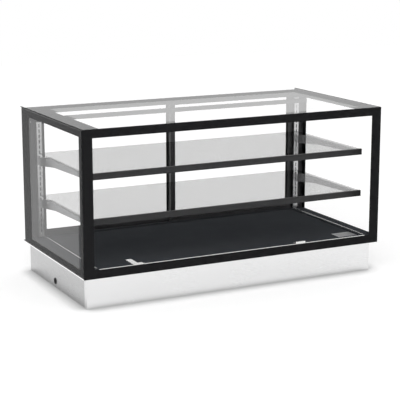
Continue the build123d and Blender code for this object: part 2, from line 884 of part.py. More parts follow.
with BuildPart() as air_duct:
    block(
        (-duct_half_width, duct_half_width),
        (duct_front_y, duct_rear_y),
        (insulation_top, base_top),
    )
    block(
        (-duct_half_width + duct_sheet, duct_half_width - duct_sheet),
        (duct_front_y + duct_sheet, duct_rear_y - duct_sheet),
        (insulation_top + duct_sheet, base_top),
        Mode.SUBTRACT,
    )
save(air_duct, "air_duct")

duct_floor = insulation_top + duct_sheet
duct_middle_y = (duct_front_y + duct_rear_y) / 2
fan_bottom = duct_floor
fan_top = fan_bottom + fan_depth
fan_pin = fan_depth * 0.8
hub_floor = fan_bottom + fan_depth * 0.35

with BuildPart() as blade:
    # one blade, drawn for the +X direction: it flattens from the hub to the tip
    blade_middle = fan_bottom + fan_depth * 0.6
    for radius, pitch_angle, chord in (
        (fan_hub_radius - 1.5, 42, 20),
        (fan_blade_tip, 24, 34),
    ):
        pitch = math.radians(pitch_angle)
        chord_direction = (0, math.cos(pitch), math.sin(pitch))
        with BuildSketch(Plane((radius, 0, blade_middle), chord_direction, (1, 0, 0))):
            with BuildLine():
                upper = ThreePointArc((-chord / 2, 0), (0, chord * 0.13), (chord / 2, 0))
                lower = ThreePointArc((-chord / 2, 0), (0, chord * 0.05), (chord / 2, 0))
            make_face()
    loft(ruled=True)

with BuildPart() as fan_frames:
    for side in (-1, 1):
        fan_centre = (side * fan_spacing / 2, duct_middle_y)
        with BuildSketch(Plane.XY.offset(fan_bottom)):
            with Locations(fan_centre):
                RectangleRounded(fan_size, fan_size, fan_size / 20)
                Circle(fan_bore, mode=Mode.SUBTRACT)
        extrude(amount=fan_depth)
        # motor plate on three struts, with the pin that the impeller turns on
        with BuildSketch(Plane.XY.offset(fan_bottom)):
            with Locations(fan_centre):
                Circle(fan_hub_radius)
                with PolarLocations(fan_bore / 2, 3):
                    Rectangle(fan_bore + fan_depth / 8, fan_depth / 6)
        extrude(amount=fan_depth / 8)
        for radius, height in ((fan_hub_radius * 0.7, fan_depth * 0.3), (fan_pin_radius, fan_pin)):
            with BuildSketch(Plane.XY.offset(fan_bottom)):
                with Locations(fan_centre):
                    Circle(radius)
            extrude(amount=height)
save(fan_frames, "fan_frames")

for side_name, side in sides:
    fan_centre = (side * fan_spacing / 2, duct_middle_y)
    with BuildPart() as impeller:
        with BuildSketch(Plane.XY.offset(hub_floor)):
            with Locations(fan_centre):
                Circle(fan_hub_radius)
        extrude(amount=fan_top - hub_floor - 1)
        with Locations((*fan_centre, 0)):
            with PolarLocations(0, fan_blades):
                add(blade.part)
        with BuildSketch(Plane.XY.offset(hub_floor)):
            with Locations(fan_centre):
                Circle(fan_pin_radius + running_play)
        extrude(amount=fan_bottom + fan_pin - hub_floor + 1, mode=Mode.SUBTRACT)
    save(impeller, f"fan_impeller_{side_name}")

# Tubular elements, each bent once around its fan, with both ends at the rear of the duct
with BuildPart() as heating_elements:
    for side in (-1, 1):
        fan_x = side * fan_spacing / 2
        element_z = fan_bottom + fan_depth / 2
        reach = fan_size / 2 + element_radius * 4
        end_y = duct_rear_y - duct_sheet
        with BuildLine() as element_route:
            FilletPolyline(
                (fan_x - reach, end_y, element_z),
                (fan_x - reach, duct_middle_y - reach, element_z),
                (fan_x + reach, duct_middle_y - reach, element_z),
                (fan_x + reach, end_y, element_z),
                radius=element_bend,
            )
        start_plane = Plane(origin=element_route.line @ 0, z_dir=element_route.line % 0)
        with BuildSketch(start_plane) as element_section:
            Circle(element_radius)
        sweep(element_section.sketch, path=element_route.line)
save(heating_elements, "heating_elements")

# Electrical bay behind the duct
bay_front_y = duct_rear_y
bay_floor = floor_sheet

with BuildPart() as terminal_block:
    terminal_centre = (-duct_half_width + terminal_inset, bay_front_y + terminal_inset)
    with BuildSketch(Plane.XY.offset(bay_floor)):
        with Locations(terminal_centre):
            Rectangle(terminal_length, terminal_depth)
    extrude(amount=terminal_height)
    with BuildSketch(Plane.XY.offset(bay_floor + terminal_height)):
        with Locations(terminal_centre):
            with GridLocations(terminal_pitch, 1, terminal_ways, 1):
                Circle(terminal_well_radius)
    extrude(amount=-terminal_well_depth, mode=Mode.SUBTRACT)
save(terminal_block, "terminal_block")

with BuildPart() as lamp_driver:
    with BuildSketch(Plane.XY.offset(bay_floor)):
        with Locations((driver_offset, bay_front_y + terminal_inset)):
            RectangleRounded(driver_length, driver_depth, driver_corner)
    extrude(amount=driver_height)
save(lamp_driver, "lamp_driver")

# Temperature bulb clipped in the return air, on the front wall of the duct
with BuildPart() as temperature_bulb:
    bulb_x = sum(vent_x) / 2 - vent_width
    with BuildSketch(Plane.YZ.offset(bulb_x)):
        with Locations((duct_front_y + duct_sheet + bulb_radius, base_top - bulb_drop)):
            Circle(bulb_radius)
    extrude(amount=vent_width)
    fillet(temperature_bulb.edges(), bulb_radius / 2)
save(temperature_bulb, "temperature_bulb")

# Controls in the rear of the base
control_face_y = base_rear_y + control_sheet
knob_x = control_centre_x - control_width / 4
switch_centres = [control_centre_x + switch_spacing * (n + 0.4) for n in range(2)]

with BuildPart() as control_panel:
    with BuildSketch(Plane.XZ.offset(-base_rear_y)):
        with Locations((control_centre_x, control_z)):
            RectangleRounded(control_width, control_height, control_overlap / 2)
        with Locations((knob_x, control_z)):
            Circle(knob_shaft_radius + 10 * running_play, mode=Mode.SUBTRACT)
        with Locations(*[(x, control_z) for x in switch_centres]):
            Rectangle(switch_width + pane_play, switch_height + pane_play, mode=Mode.SUBTRACT)
    extrude(amount=-control_sheet)
save(control_panel, "control_panel")

with BuildPart() as thermostat:
    thermostat_back_y = base_rear_y - thermostat_depth
    with BuildSketch(Plane.XZ.offset(-base_rear_y)):
        with Locations((knob_x, control_z)):
            RectangleRounded(thermostat_width, thermostat_height, driver_corner)
    extrude(amount=thermostat_depth)
    with BuildSketch(Plane.XZ.offset(-base_rear_y)):
        with Locations((knob_x, control_z)):
            Circle(knob_shaft_radius + running_play)
    extrude(amount=knob_shaft_length, mode=Mode.SUBTRACT)
save(thermostat, "thermostat")

with BuildPart() as thermostat_knob:
    knob_back_y = control_face_y + knob_gap
    with BuildSketch(Plane.XZ.offset(-knob_back_y)):
        with Locations((knob_x, control_z)):
            Circle(knob_radius)
            with PolarLocations(knob_radius * 1.09, knob_flutes):
                Circle(knob_radius * 0.2, mode=Mode.SUBTRACT)
    extrude(amount=-knob_height, taper=4)
    pointer_z = control_z + knob_radius / 2
    pointer_y = knob_back_y + knob_height
    block(
        (knob_x - 0.8, knob_x + 0.8),
        (pointer_y - 0.8, pointer_y),
        (pointer_z - knob_radius / 4, pointer_z + knob_radius / 4),
        Mode.SUBTRACT,
    )
    shaft_end_y = base_rear_y - knob_shaft_length + 1
    with BuildSketch(Plane.XZ.offset(-knob_back_y)):
        with Locations((knob_x, control_z)):
            Circle(knob_shaft_radius)
    extrude(amount=knob_back_y - shaft_end_y)
save(thermostat_knob, "thermostat_knob")

with BuildPart() as switch_bodies:
    for switch_x in switch_centres:
        opening_x = switch_width - 2 * switch_bezel
        opening_z = switch_height - 2 * switch_bezel
        well_floor_y = control_face_y - switch_depth / 2
        with Locations((switch_x, control_face_y + switch_bezel / 2, control_z)):
            Box(switch_width + 2 * switch_bezel, switch_bezel, switch_height + 2 * switch_bezel)
        with Locations((switch_x, control_face_y - switch_depth / 2, control_z)):
            Box(switch_width, switch_depth, switch_height)
        block(
            (switch_x - opening_x / 2, switch_x + opening_x / 2),
            (well_floor_y, control_face_y + switch_bezel),
            (control_z - opening_z / 2, control_z + opening_z / 2),
            Mode.SUBTRACT,
        )
save(switch_bodies, "switch_bodies")

for switch_name, switch_x in zip(("power", "lamp"), switch_centres):
    with BuildPart() as rocker:
        half_height = switch_height / 2 - switch_bezel - 0.8
        rocker_width = switch_width - 2 * switch_bezel - 2 * pane_play
        rise = half_height * math.tan(math.radians(rocker_tilt))
        crown = switch_bezel / 2 + 0.5
        pivot = Axis((switch_x, control_face_y - switch_bezel, control_z), (1, 0, 0))
        with BuildSketch(Plane.YZ.offset(switch_x - rocker_width / 2)):
            with BuildLine():
                Polyline(
                    (control_face_y + crown + rise, control_z + half_height),
                    (control_face_y + crown, control_z),
                    (control_face_y + crown + rise, control_z - half_height),
                    (control_face_y - switch_bezel, control_z - half_height),
                    (control_face_y - 3 * switch_bezel, control_z),
                    (control_face_y - switch_bezel, control_z + half_height),
                    close=True,
                )
            make_face()
        extrude(amount=rocker_width)
    # it rests in its off position, with its lower half pressed in
    with BuildPart() as resting_rocker:
        add(rocker.part.rotate(pivot, -rocker_tilt))
    save(resting_rocker, f"{switch_name}_rocker")
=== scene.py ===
import json
import math
import bpy
from mathutils import Matrix, Vector


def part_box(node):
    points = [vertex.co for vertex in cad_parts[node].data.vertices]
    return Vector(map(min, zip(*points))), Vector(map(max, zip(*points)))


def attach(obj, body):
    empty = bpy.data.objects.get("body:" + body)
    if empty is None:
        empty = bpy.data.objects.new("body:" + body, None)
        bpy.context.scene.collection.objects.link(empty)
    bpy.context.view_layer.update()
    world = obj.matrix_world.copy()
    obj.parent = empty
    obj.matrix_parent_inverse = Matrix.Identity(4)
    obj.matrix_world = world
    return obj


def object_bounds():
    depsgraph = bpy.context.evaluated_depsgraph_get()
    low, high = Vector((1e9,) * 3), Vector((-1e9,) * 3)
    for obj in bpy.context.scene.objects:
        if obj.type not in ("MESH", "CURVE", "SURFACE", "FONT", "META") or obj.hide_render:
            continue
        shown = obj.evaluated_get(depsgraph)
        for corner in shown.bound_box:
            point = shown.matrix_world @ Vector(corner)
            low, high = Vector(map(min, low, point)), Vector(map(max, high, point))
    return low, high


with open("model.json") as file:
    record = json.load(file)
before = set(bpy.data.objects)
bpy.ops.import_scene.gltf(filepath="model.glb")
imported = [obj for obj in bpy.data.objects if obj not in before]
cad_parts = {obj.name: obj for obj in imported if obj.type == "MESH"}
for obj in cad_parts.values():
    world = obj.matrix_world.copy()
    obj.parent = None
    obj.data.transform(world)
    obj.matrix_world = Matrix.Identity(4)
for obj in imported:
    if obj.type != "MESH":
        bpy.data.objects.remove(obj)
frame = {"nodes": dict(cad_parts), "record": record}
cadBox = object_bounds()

cabinetBody = "cabinet"
sides = ((-1, "left"), (1, "right"))
shelves = ("upper", "middle")
slotOfNode = {row["node"]: row["material_slot"] for row in frame["record"]["subparts"]}


# small helpers
def dropSelection():
    if bpy.context.object and bpy.context.object.mode != "OBJECT":
        bpy.ops.object.mode_set(mode="OBJECT")
    bpy.ops.object.select_all(action="DESELECT")


def pickFaces(obj, wanted):
    # leaves the mesh in edit mode with only the wanted faces selected
    bpy.ops.object.mode_set(mode="EDIT")
    bpy.ops.mesh.select_mode(type="FACE")
    bpy.ops.mesh.select_all(action="DESELECT")
    bpy.ops.object.mode_set(mode="OBJECT")
    for face in obj.data.polygons:
        face.select = wanted(face)
    bpy.ops.object.mode_set(mode="EDIT")


def facesUp(face):
    return face.normal.z > 0.9


def roundTop(obj, offset, segments):
    # rounds the rim of the upward face
    pickFaces(obj, facesUp)
    bpy.ops.mesh.bevel(offset=offset, segments=segments, affect="EDGES")
    bpy.ops.object.mode_set(mode="OBJECT")


def applyModifier(obj, kind, **settings):
    modifier = obj.modifiers.new(kind.title(), kind)
    for key, value in settings.items():
        setattr(modifier, key, value)
    bpy.context.view_layer.objects.active = obj
    bpy.ops.object.modifier_apply(modifier=modifier.name)


def combine(obj, other, operation):
    # the other piece is used up
    applyModifier(obj, "BOOLEAN", object=other, operation=operation, solver="EXACT")
    bpy.data.objects.remove(other)


def settle(obj, name, material, body):
    # place and turn go into the mesh, then the piece rides its body
    dropSelection()
    obj.select_set(True)
    bpy.context.view_layer.objects.active = obj
    bpy.ops.object.transform_apply(location=True, rotation=True, scale=True)
    obj.name = name
    obj.data.name = name
    obj.data.materials.clear()
    obj.data.materials.append(material)
    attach(obj, body)


def addBox(low, high):
    centre = [(a + b) / 2 for a, b in zip(low, high)]
    dropSelection()
    bpy.ops.mesh.primitive_cube_add(size=1, location=centre)
    box = bpy.context.object
    box.scale = [b - a for a, b in zip(low, high)]
    bpy.ops.object.transform_apply(location=True, rotation=True, scale=True)
    return box


# materials
def startMaterial(name):
    material = bpy.data.materials.new(name)
    material.use_nodes = True
    tree = material.node_tree
    tree.nodes.clear()
    return material, tree, tree.nodes.new("ShaderNodeOutputMaterial")


def mathOf(tree, operation, *values):
    node = tree.nodes.new("ShaderNodeMath")
    node.operation = operation
    for socket, value in zip(node.inputs, values):
        if isinstance(value, (int, float)):
            socket.default_value = value
        else:
            tree.links.new(value, socket)
    return node.outputs[0]


def noiseOf(tree, grain, detail):
    coords = tree.nodes.new("ShaderNodeTexCoord")
    mapping = tree.nodes.new("ShaderNodeMapping")
    mapping.inputs["Scale"].default_value = grain
    noise = tree.nodes.new("ShaderNodeTexNoise")
    noise.inputs["Scale"].default_value = 1.0  # the grain is already in the mapping
    noise.inputs["Detail"].default_value = detail
    noise.inputs["Roughness"].default_value = 0.6
    tree.links.new(coords.outputs["Object"], mapping.inputs["Vector"])
    tree.links.new(mapping.outputs["Vector"], noise.inputs["Vector"])
    return noise.outputs["Fac"]


def rangeOf(tree, value, span, results):
    # maps the span of a value onto the two results
    node = tree.nodes.new("ShaderNodeMapRange")
    node.inputs["From Min"].default_value, node.inputs["From Max"].default_value = span
    node.inputs["To Min"].default_value, node.inputs["To Max"].default_value = results
    tree.links.new(value, node.inputs["Value"])
    return node.outputs["Result"]


def objectAxes(tree):
    coords = tree.nodes.new("ShaderNodeTexCoord")
    parts = tree.nodes.new("ShaderNodeSeparateXYZ")
    tree.links.new(coords.outputs["Object"], parts.inputs["Vector"])
    return parts.outputs


offToOn = (0.0, 1.0)
noiseSpan = (0.3, 0.7)  # the stretch of a noise that its results are spread over
finishDetail = {
    "coatRoughness": 0.08, "grainDetail": 5.0, "markGrain": (6, 6, 6), "markDetail": 3.0,
    "glossSpan": (0.35, 0.65), "bump": 0.1, "relief": 0.0003,
}


def surfaceMaterial(name, look):
    # grain shows in the colour and the bump, grain and handling marks in the gloss
    material, tree, output = startMaterial(name)
    shader = tree.nodes.new("ShaderNodeBsdfPrincipled")
    shader.inputs["Metallic"].default_value = look.get("metal", 0.0)
    shader.inputs["Specular IOR Level"].default_value = look.get("specular", 0.5)
    shader.inputs["Coat Weight"].default_value = look.get("coat", 0.0)
    shader.inputs["Coat Roughness"].default_value = finishDetail["coatRoughness"]
    grain = noiseOf(tree, look["grain"], finishDetail["grainDetail"])
    marks = noiseOf(tree, finishDetail["markGrain"], finishDetail["markDetail"])
    ramp = tree.nodes.new("ShaderNodeValToRGB")
    for element, place, sign in zip(ramp.color_ramp.elements, noiseSpan, (-1, 1)):
        element.position = place
        element.color = (*[c * (1 + sign * look["spread"]) for c in look["colour"]], 1)
    tree.links.new(grain, ramp.inputs["Fac"])
    tree.links.new(ramp.outputs["Color"], shader.inputs["Base Color"])
    average = mathOf(tree, "MULTIPLY", mathOf(tree, "ADD", grain, marks), 0.5)
    roughness = rangeOf(tree, average, finishDetail["glossSpan"], look["rough"])
    tree.links.new(roughness, shader.inputs["Roughness"])
    bump = tree.nodes.new("ShaderNodeBump")
    bump.inputs["Strength"].default_value = look.get("bump", finishDetail["bump"])
    bump.inputs["Distance"].default_value = look.get("relief", finishDetail["relief"])
    tree.links.new(grain, bump.inputs["Height"])
    tree.links.new(bump.outputs["Normal"], shader.inputs["Normal"])
    if "glow" in look:
        shader.inputs["Emission Color"].default_value = (*look["glow"], 1)
        shader.inputs["Emission Strength"].default_value = look["glowStrength"]
    tree.links.new(shader.outputs["BSDF"], output.inputs["Surface"])
    return material


def insideOf(tree, window):
    # 1 in the clear window of a printed pane, 0 over the print
    axes = objectAxes(tree)
    inside = 1.0
    for axis, (low, high) in window.items():
        offCentre = mathOf(tree, "ABSOLUTE", mathOf(tree, "SUBTRACT", axes[axis], (low + high) / 2))
        within = mathOf(tree, "LESS_THAN", offCentre, (high - low) / 2)
        inside = mathOf(tree, "MULTIPLY", inside, within)
    return inside


# a mirroring fainter than faintMirror would only show as grain, so it is left out
paneDetail = {"ior": 1.5, "faintMirror": 0.10, "wipeGrain": (9, 9, 9), "wipeDetail": 3.0, "polish": 0.005}


def mirrorShare(tree, look):
    # a pane mirrors at both its faces, and only at the outer one where print backs it;
    # both mirrorings are laid on the face that a ray meets first
    fresnel = tree.nodes.new("ShaderNodeFresnel")
    fresnel.inputs["IOR"].default_value = paneDetail["ior"]
    single = fresnel.outputs["Fac"]
    double = mathOf(tree, "DIVIDE", mathOf(tree, "MULTIPLY", single, 2.0), mathOf(tree, "ADD", single, 1.0))
    mirrored = double
    if "clear" in look:
        second = mathOf(tree, "SUBTRACT", double, single)
        shown = mathOf(tree, "MULTIPLY", second, insideOf(tree, look["clear"]))
        mirrored = mathOf(tree, "ADD", single, shown)
    faint = paneDetail["faintMirror"]
    strong = mathOf(tree, "MAXIMUM", mathOf(tree, "SUBTRACT", mirrored, faint), 0.0)
    geometry = tree.nodes.new("ShaderNodeNewGeometry")
    outer = mathOf(tree, "SUBTRACT", 1.0, geometry.outputs["Backfacing"])
    return mathOf(tree, "MULTIPLY", mathOf(tree, "MULTIPLY", strong, look["strength"] / (1 - faint)), outer)


def paneMaterial(name, look):
    material, tree, output = startMaterial(name)
    share = mirrorShare(tree, look)
    through = tree.nodes.new("ShaderNodeBsdfTransparent")
    through.inputs["Color"].default_value = (look["tint"],) * 3 + (1,)
    if "edgeAbove" in look:
        # the ground top edge of a pane is dark, as light leaves it sideways
        onEdge = mathOf(tree, "GREATER_THAN", objectAxes(tree)["Z"], look["edgeAbove"])
        edgeTint = rangeOf(tree, onEdge, offToOn, (look["tint"], look["edgeTint"]))
        tree.links.new(edgeTint, through.inputs["Color"])
        share = mathOf(tree, "MULTIPLY", share, rangeOf(tree, onEdge, offToOn, (1.0, look["edgeMirror"])))
    mirror = tree.nodes.new("ShaderNodeBsdfGlossy")
    mirror.inputs["Color"].default_value = (look["mirror"],) * 3 + (1,)
    wipes = noiseOf(tree, paneDetail["wipeGrain"], paneDetail["wipeDetail"])
    haze = rangeOf(tree, wipes, noiseSpan, (paneDetail["polish"], look["haze"]))
    tree.links.new(haze, mirror.inputs["Roughness"])
    mix = tree.nodes.new("ShaderNodeMixShader")
    tree.links.new(share, mix.inputs["Fac"])
    tree.links.new(through.outputs["BSDF"], mix.inputs[1])
    tree.links.new(mirror.outputs["BSDF"], mix.inputs[2])
    tree.links.new(mix.outputs["Shader"], output.inputs["Surface"])
    return material


# strength dims each pane's mirroring to stand in for how bright its surroundings would be: painted shade on
# the reflections, strongest on the front pane and the doors
panes = {
    "front_glass": {
        "tint": 0.998, "mirror": 1.0, "strength": 0.25, "haze": 0.02,
        "clear": {"X": (-0.560, 0.560), "Z": (0.144, 0.601)},
    },
    "left_glass": {
        "tint": 0.998, "mirror": 1.0, "strength": 0.72, "haze": 0.02,
        "edgeAbove": 0.6311, "edgeTint": 0.25, "edgeMirror": 0.3,
        "clear": {"Y": (-0.2675, 0.2155), "Z": (0.142, 0.603)},
    },
    "top_glass": {
        "tint": 0.998, "mirror": 1.0, "strength": 0.81, "haze": 0.02,
        "clear": {"X": (-0.523, 0.523), "Y": (-0.2725, 0.1975)},
    },
    "shelf_glass": {"tint": 0.78, "mirror": 0.64, "strength": 1.0, "haze": 0.05},
    "door_glass": {"tint": 0.997, "mirror": 1.0, "strength": 0.25, "haze": 0.02},
}
paneOf = {
    "front_glass": "front_glass", "left_glass": "left_glass", "right_glass": "left_glass",
    "top_glass": "top_glass", "upper_shelf_glass": "shelf_glass", "middle_shelf_glass": "shelf_glass",
    "door_left_glass": "door_glass", "door_right_glass": "door_glass",
}

# finishes of the record's material slots
finishes = {
    "black_print": {
        "colour": (0.0175, 0.0175, 0.0185), "spread": 0.05, "rough": (0.35, 0.5),
        "grain": (40, 40, 40), "bump": 0.01, "specular": 0.0,
    },
    "black_rubber": {
        "colour": (0.016, 0.016, 0.017), "spread": 0.3, "rough": (0.5, 0.75),
        "grain": (700, 700, 700), "bump": 0.25,
    },
    "dark_metal": {
        "colour": (0.042, 0.042, 0.044), "spread": 0.12, "rough": (0.32, 0.46),
        "grain": (1400, 1400, 1400), "bump": 0.12, "metal": 0.15,
    },
    "stainless": {
        "colour": (0.80, 0.80, 0.803), "spread": 0.015, "rough": (0.22, 0.3),
        "grain": (10, 900, 900), "bump": 0.02, "metal": 1.0,
    },
    "deck_enamel": {
        "colour": (0.052, 0.0555, 0.061), "spread": 0.04, "rough": (0.14, 0.3),
        "grain": (12, 12, 12), "bump": 0.0, "specular": 0.0,
    },
    "vent_grey": {
        "colour": (0.30, 0.30, 0.31), "spread": 0.08, "rough": (0.3, 0.42),
        "grain": (600, 600, 600), "bump": 0.08, "metal": 0.6,
    },
    "black_plastic": {
        "colour": (0.022, 0.022, 0.023), "spread": 0.15, "rough": (0.42, 0.6),
        "grain": (1600, 1600, 1600), "bump": 0.3,
    },
    "opal_plastic": {
        "colour": (0.82, 0.82, 0.79), "spread": 0.02, "rough": (0.4, 0.5),
        "grain": (200, 200, 200), "bump": 0.02, "glow": (1.0, 0.95, 0.86), "glowStrength": 0.4,
    },
    "mineral_board": {
        "colour": (0.52, 0.46, 0.32), "spread": 0.2, "rough": (0.85, 0.95),
        "grain": (60, 400, 400), "bump": 0.6, "relief": 0.001,
    },
    "driver_case": {
        "colour": (0.72, 0.72, 0.71), "spread": 0.04, "rough": (0.35, 0.5),
        "grain": (500, 500, 500), "bump": 0.1,
    },
}

# finishes of single nodes, which differ from their slot's
nodeFinishes = {
    "heating_elements": {
        "colour": (0.14, 0.11, 0.09), "spread": 0.3, "rough": (0.35, 0.6),
        "grain": (120, 120, 120), "bump": 0.2, "metal": 0.9,
    },
    "temperature_bulb": {
        "colour": (0.72, 0.42, 0.25), "spread": 0.12, "rough": (0.25, 0.4),
        "grain": (200, 200, 200), "metal": 1.0,
    },
    "fan_frames": {
        "colour": (0.10, 0.10, 0.105), "spread": 0.2, "rough": (0.4, 0.55),
        "grain": (300, 300, 300), "metal": 0.6,
    },
    "terminal_block": {
        "colour": (0.62, 0.60, 0.52), "spread": 0.06, "rough": (0.4, 0.55),
        "grain": (700, 700, 700), "bump": 0.15,
    },
    "air_duct": {
        "colour": (0.55, 0.56, 0.57), "spread": 0.12, "rough": (0.35, 0.55),
        "grain": (40, 40, 40), "metal": 1.0,
    },
    "uprights": {
        "colour": (0.55, 0.55, 0.555), "spread": 0.04, "rough": (0.2, 0.34),
        "grain": (900, 900, 12), "bump": 0.05, "metal": 1.0,
    },
    # the mounting flange is the stainless brightened to 0.93: a painted highlight along its lit edge
    "mounting_flange": {
        "colour": (0.93, 0.93, 0.93), "spread": 0.01, "rough": (0.2, 0.28),
        "grain": (10, 10, 900), "bump": 0.01, "metal": 1.0,
    },
}
# the base's side panels are the stainless darkened to 0.53: painted shade for the sides that get less light
# than the front
sidePanelPaintedShade = {
    "colour": (0.53, 0.53, 0.533), "spread": 0.015, "rough": (0.24, 0.32),
    "grain": (900, 10, 900), "bump": 0.02, "metal": 1.0,
}
# the shelf arms are steel darkened to 0.24: painted shade standing in for the dark reflections on them
armPaintedShade = {
    "colour": (0.24, 0.24, 0.245), "spread": 0.04, "rough": (0.28, 0.4),
    "grain": (900, 14, 900), "bump": 0.04, "metal": 1.0,
}
# the shelf trims are the dark metal darkened further: painted shade, as the light from above lit them more
# than they look
trimPaintedShade = {
    "colour": (0.026, 0.026, 0.027), "spread": 0.08, "rough": (0.35, 0.5),
    "grain": (300, 300, 300), "bump": 0.05, "specular": 0.25,
}
for shelf in shelves:
    nodeFinishes[f"{shelf}_shelf_trim"] = trimPaintedShade
for sideName in ("left", "right"):
    nodeFinishes[f"base_{sideName}_panel"] = sidePanelPaintedShade
    for shelf in shelves:
        nodeFinishes[f"{shelf}_shelf_arm_{sideName}"] = armPaintedShade

paneMaterials = {name: paneMaterial(name, look) for name, look in panes.items()}
slotMaterials = {name: surfaceMaterial(name, look) for name, look in finishes.items()}
for nodeName, obj in frame["nodes"].items():
    if nodeName in paneOf:
        material = paneMaterials[paneOf[nodeName]]
    elif nodeName in nodeFinishes:
        material = surfaceMaterial(nodeName, nodeFinishes[nodeName])
    else:
        material = slotMaterials[slotOfNode[nodeName]]
    obj.data.materials.clear()
    obj.data.materials.append(material)

# finishes of the pieces that are modelled here
zincPlate = surfaceMaterial("zinc_plate", {
    "colour": (0.78, 0.78, 0.77), "spread": 0.05, "rough": (0.18, 0.3),
    "grain": (400, 400, 400), "metal": 1.0,
})
inkPrint = surfaceMaterial("ink_print", {
    "colour": (0.03, 0.03, 0.032), "spread": 0.1, "rough": (0.45, 0.6),
    "grain": (900, 900, 900),
})
amberLens = surfaceMaterial("amber_lens", {
    "colour": (0.85, 0.28, 0.03), "spread": 0.05, "rough": (0.08, 0.16),
    "grain": (200, 200, 200), "coat": 0.6, "glow": (1.0, 0.35, 0.04), "glowStrength": 0.3,
})
print("materials done")

# screw head with a cross recess, modelled once and copied
screwSize = {
    "radius": 0.0034, "height": 0.0016, "roundShare": 0.55,
    "crossLength": 0.0042, "crossWidth": 0.0009, "crossDepth": 0.0009,
}
dropSelection()
bpy.ops.mesh.primitive_cylinder_add(
    vertices=32, radius=screwSize["radius"], depth=screwSize["height"],
    location=(0, 0, screwSize["height"] / 2),
)
screwHead = bpy.context.object
roundTop(screwHead, screwSize["height"] * screwSize["roundShare"], 4)
crossArms = (screwSize["crossLength"], screwSize["crossWidth"])
for lengthX, lengthY in (crossArms, crossArms[::-1]):
    cutter = addBox(
        (-lengthX / 2, -lengthY / 2, screwSize["height"] - screwSize["crossDepth"]),
        (lengthX / 2, lengthY / 2, screwSize["height"] * 2),
    )
    combine(screwHead, cutter, "DIFFERENCE")

facing = {
    "front": Matrix.Rotation(math.radians(90), 4, "X"),
    "rear": Matrix.Rotation(math.radians(-90), 4, "X"),
    "left": Matrix.Rotation(math.radians(-90), 4, "Y"),
    "right": Matrix.Rotation(math.radians(90), 4, "Y"),
}


def addScrew(name, spot, way, body):
    screw = screwHead.copy()
    screw.data = screwHead.data.copy()
    bpy.context.collection.objects.link(screw)
    screw.matrix_world = Matrix.Translation(spot) @ facing[way]
    settle(screw, name, zincPlate, body)


uprightScrews = {"centre": 0.556, "heights": (0.1515, 0.6005)}
armScrews = {"y": 0.1501, "belowGlass": 0.01533}
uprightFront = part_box("uprights")[0][1]
for side, sideName in sides:
    for n, height in enumerate(uprightScrews["heights"]):
        spot = (side * uprightScrews["centre"], uprightFront, height)
        addScrew(f"upright_screw_{sideName}_{n}", spot, "front", cabinetBody)
    for shelf in shelves:
        armLow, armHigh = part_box(f"{shelf}_shelf_arm_{sideName}")
        outerX = armLow[0] if side < 0 else armHigh[0]
        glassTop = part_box(f"{shelf}_shelf_glass")[1][2]
        spot = (outerX, armScrews["y"], glassTop - armScrews["belowGlass"])
        addScrew(f"{shelf}_arm_screw_{sideName}", spot, sideName, f"{shelf}_shelf")
panelScrewInset = 0.0065
panelLow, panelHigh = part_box("control_panel")
panelFace = panelHigh[1]
cornerXs, cornerZs = (
    (panelLow[axis] + panelScrewInset, panelHigh[axis] - panelScrewInset) for axis in (0, 2)
)
for n, (x, z) in enumerate((x, z) for x in cornerXs for z in cornerZs):
    addScrew(f"panel_screw_{n}", (x, panelFace, z), "rear", cabinetBody)
bpy.data.objects.remove(screwHead)
print("screws done")

# thermostat scale and switch marks, printed on the control panel
scaleSize = {
    "radius": 0.0262, "text": 0.0055, "relief": 0.00012,
    "tickLow": 0.0198, "tickHigh": 0.0222, "tickWidth": 0.0006, "tickFlare": 1.8,
    "count": 8, "firstAngle": -135, "sweep": 270, "firstNumber": 20, "step": 10,
}
markSize = {"offset": 0.0195, "text": 0.006}
knobLow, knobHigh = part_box("thermostat_knob")
panelMiddle = (panelLow[2] + panelHigh[2]) / 2
scaleCentre = Vector(((knobLow[0] + knobHigh[0]) / 2, panelFace, panelMiddle))


def panelText(words, name, x, z, size):
    dropSelection()
    bpy.ops.object.text_add(location=(x, panelFace, z), rotation=(math.radians(90), 0, math.radians(180)))
    mark = bpy.context.object
    mark.data.body = words
    mark.data.size = size
    mark.data.align_x = "CENTER"
    mark.data.align_y = "CENTER"
    mark.data.extrude = scaleSize["relief"]
    bpy.ops.object.convert(target="MESH")
    settle(bpy.context.object, name, inkPrint, cabinetBody)


for n in range(scaleSize["count"]):
    # 0 is straight up, seen from behind
    angle = math.radians(scaleSize["firstAngle"] + n * scaleSize["sweep"] / (scaleSize["count"] - 1))
    spot = scaleCentre + Vector((-math.sin(angle), 0, math.cos(angle))) * scaleSize["radius"]
    number = str(scaleSize["firstNumber"] + n * scaleSize["step"])
    panelText(number, f"scale_number_{n}", spot.x, spot.z, scaleSize["text"])
    halfTick = scaleSize["tickWidth"] / 2
    tick = addBox(
        (-halfTick, 0, scaleSize["tickLow"]),
        (halfTick, scaleSize["relief"], scaleSize["tickHigh"]),
    )
    pickFaces(tick, facesUp)
    tickEnd = (0, 0, scaleSize["tickHigh"])
    bpy.ops.transform.resize(value=(scaleSize["tickFlare"], 1, 1), center_override=tickEnd)
    bpy.ops.object.mode_set(mode="OBJECT")
    tick.matrix_world = Matrix.Translation(scaleCentre) @ Matrix.Rotation(-angle, 4, "Y")
    settle(tick, f"scale_tick_{n}", inkPrint, cabinetBody)
for switchName in ("power", "lamp"):
    low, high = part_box(f"{switchName}_rocker")
    middle = (low[0] + high[0]) / 2
    for word, state, sign in (("I", "on", 1), ("O", "off", -1)):
        markZ = panelMiddle + sign * markSize["offset"]
        panelText(word, f"{switchName}_{state}_mark", middle, markZ, markSize["text"])

